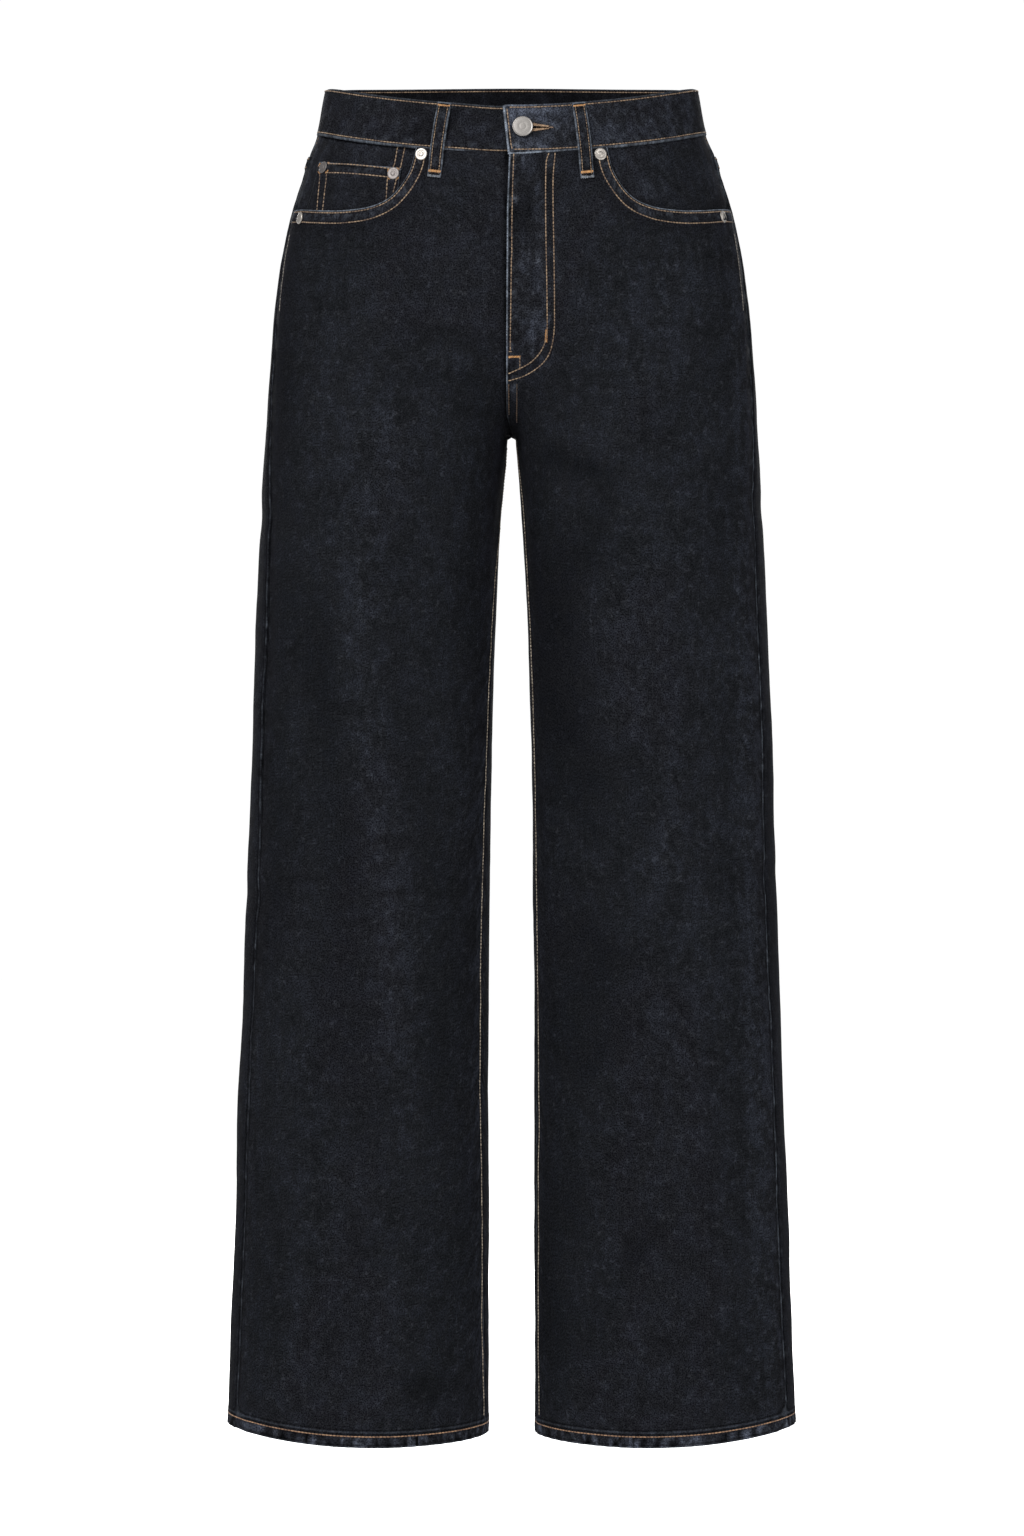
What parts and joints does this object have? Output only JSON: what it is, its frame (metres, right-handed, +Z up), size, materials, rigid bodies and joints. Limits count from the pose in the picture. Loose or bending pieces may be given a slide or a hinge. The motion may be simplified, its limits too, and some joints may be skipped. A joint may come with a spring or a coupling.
{
  "type": "straight leg jeans",
  "caption": "Straight leg denim jeans, filled out as worn, with a waistband, scooped front pockets, a coin pocket, back yokes, patch pockets, belt loops and open hems.",
  "frame": {"origin": "centre of the waist, level with the top edge of the waistband at the sides, where the wearer's waist holds the jeans up", "axes": "+Z up, -Y out of the front of the jeans, +X towards the wearer's left"},
  "size_m": [0.4447, 0.2233, 1.0706],
  "materials": {
    "denim": "heavy blue-black twill, matt, paler inside",
    "button_metal": "satin, plain face",
    "rivet_metal": "satin, plain face"
  },
  "bodies": {
    "root": {"waistband": "denim", "front_left": "denim", "front_right": "denim", "back_left": "denim", "back_right": "denim", "yoke_left": "denim", "yoke_right": "denim", "pocket_facing_left": "denim", "pocket_facing_right": "denim", "coin_pocket": "denim", "fly_underlap": "denim", "back_pocket_left": "denim", "back_pocket_right": "denim", "belt_loop_front_left": "denim", "belt_loop_front_right": "denim", "belt_loop_side_left": "denim", "belt_loop_side_right": "denim", "belt_loop_back": "denim", "button": "button_metal", "rivet_pocket_top_left": "rivet_metal", "rivet_pocket_top_right": "rivet_metal", "rivet_pocket_side_left": "rivet_metal", "rivet_pocket_side_right": "rivet_metal", "rivet_coin_outer": "rivet_metal", "rivet_coin_inner": "rivet_metal"}
  },
  "joints": []
}
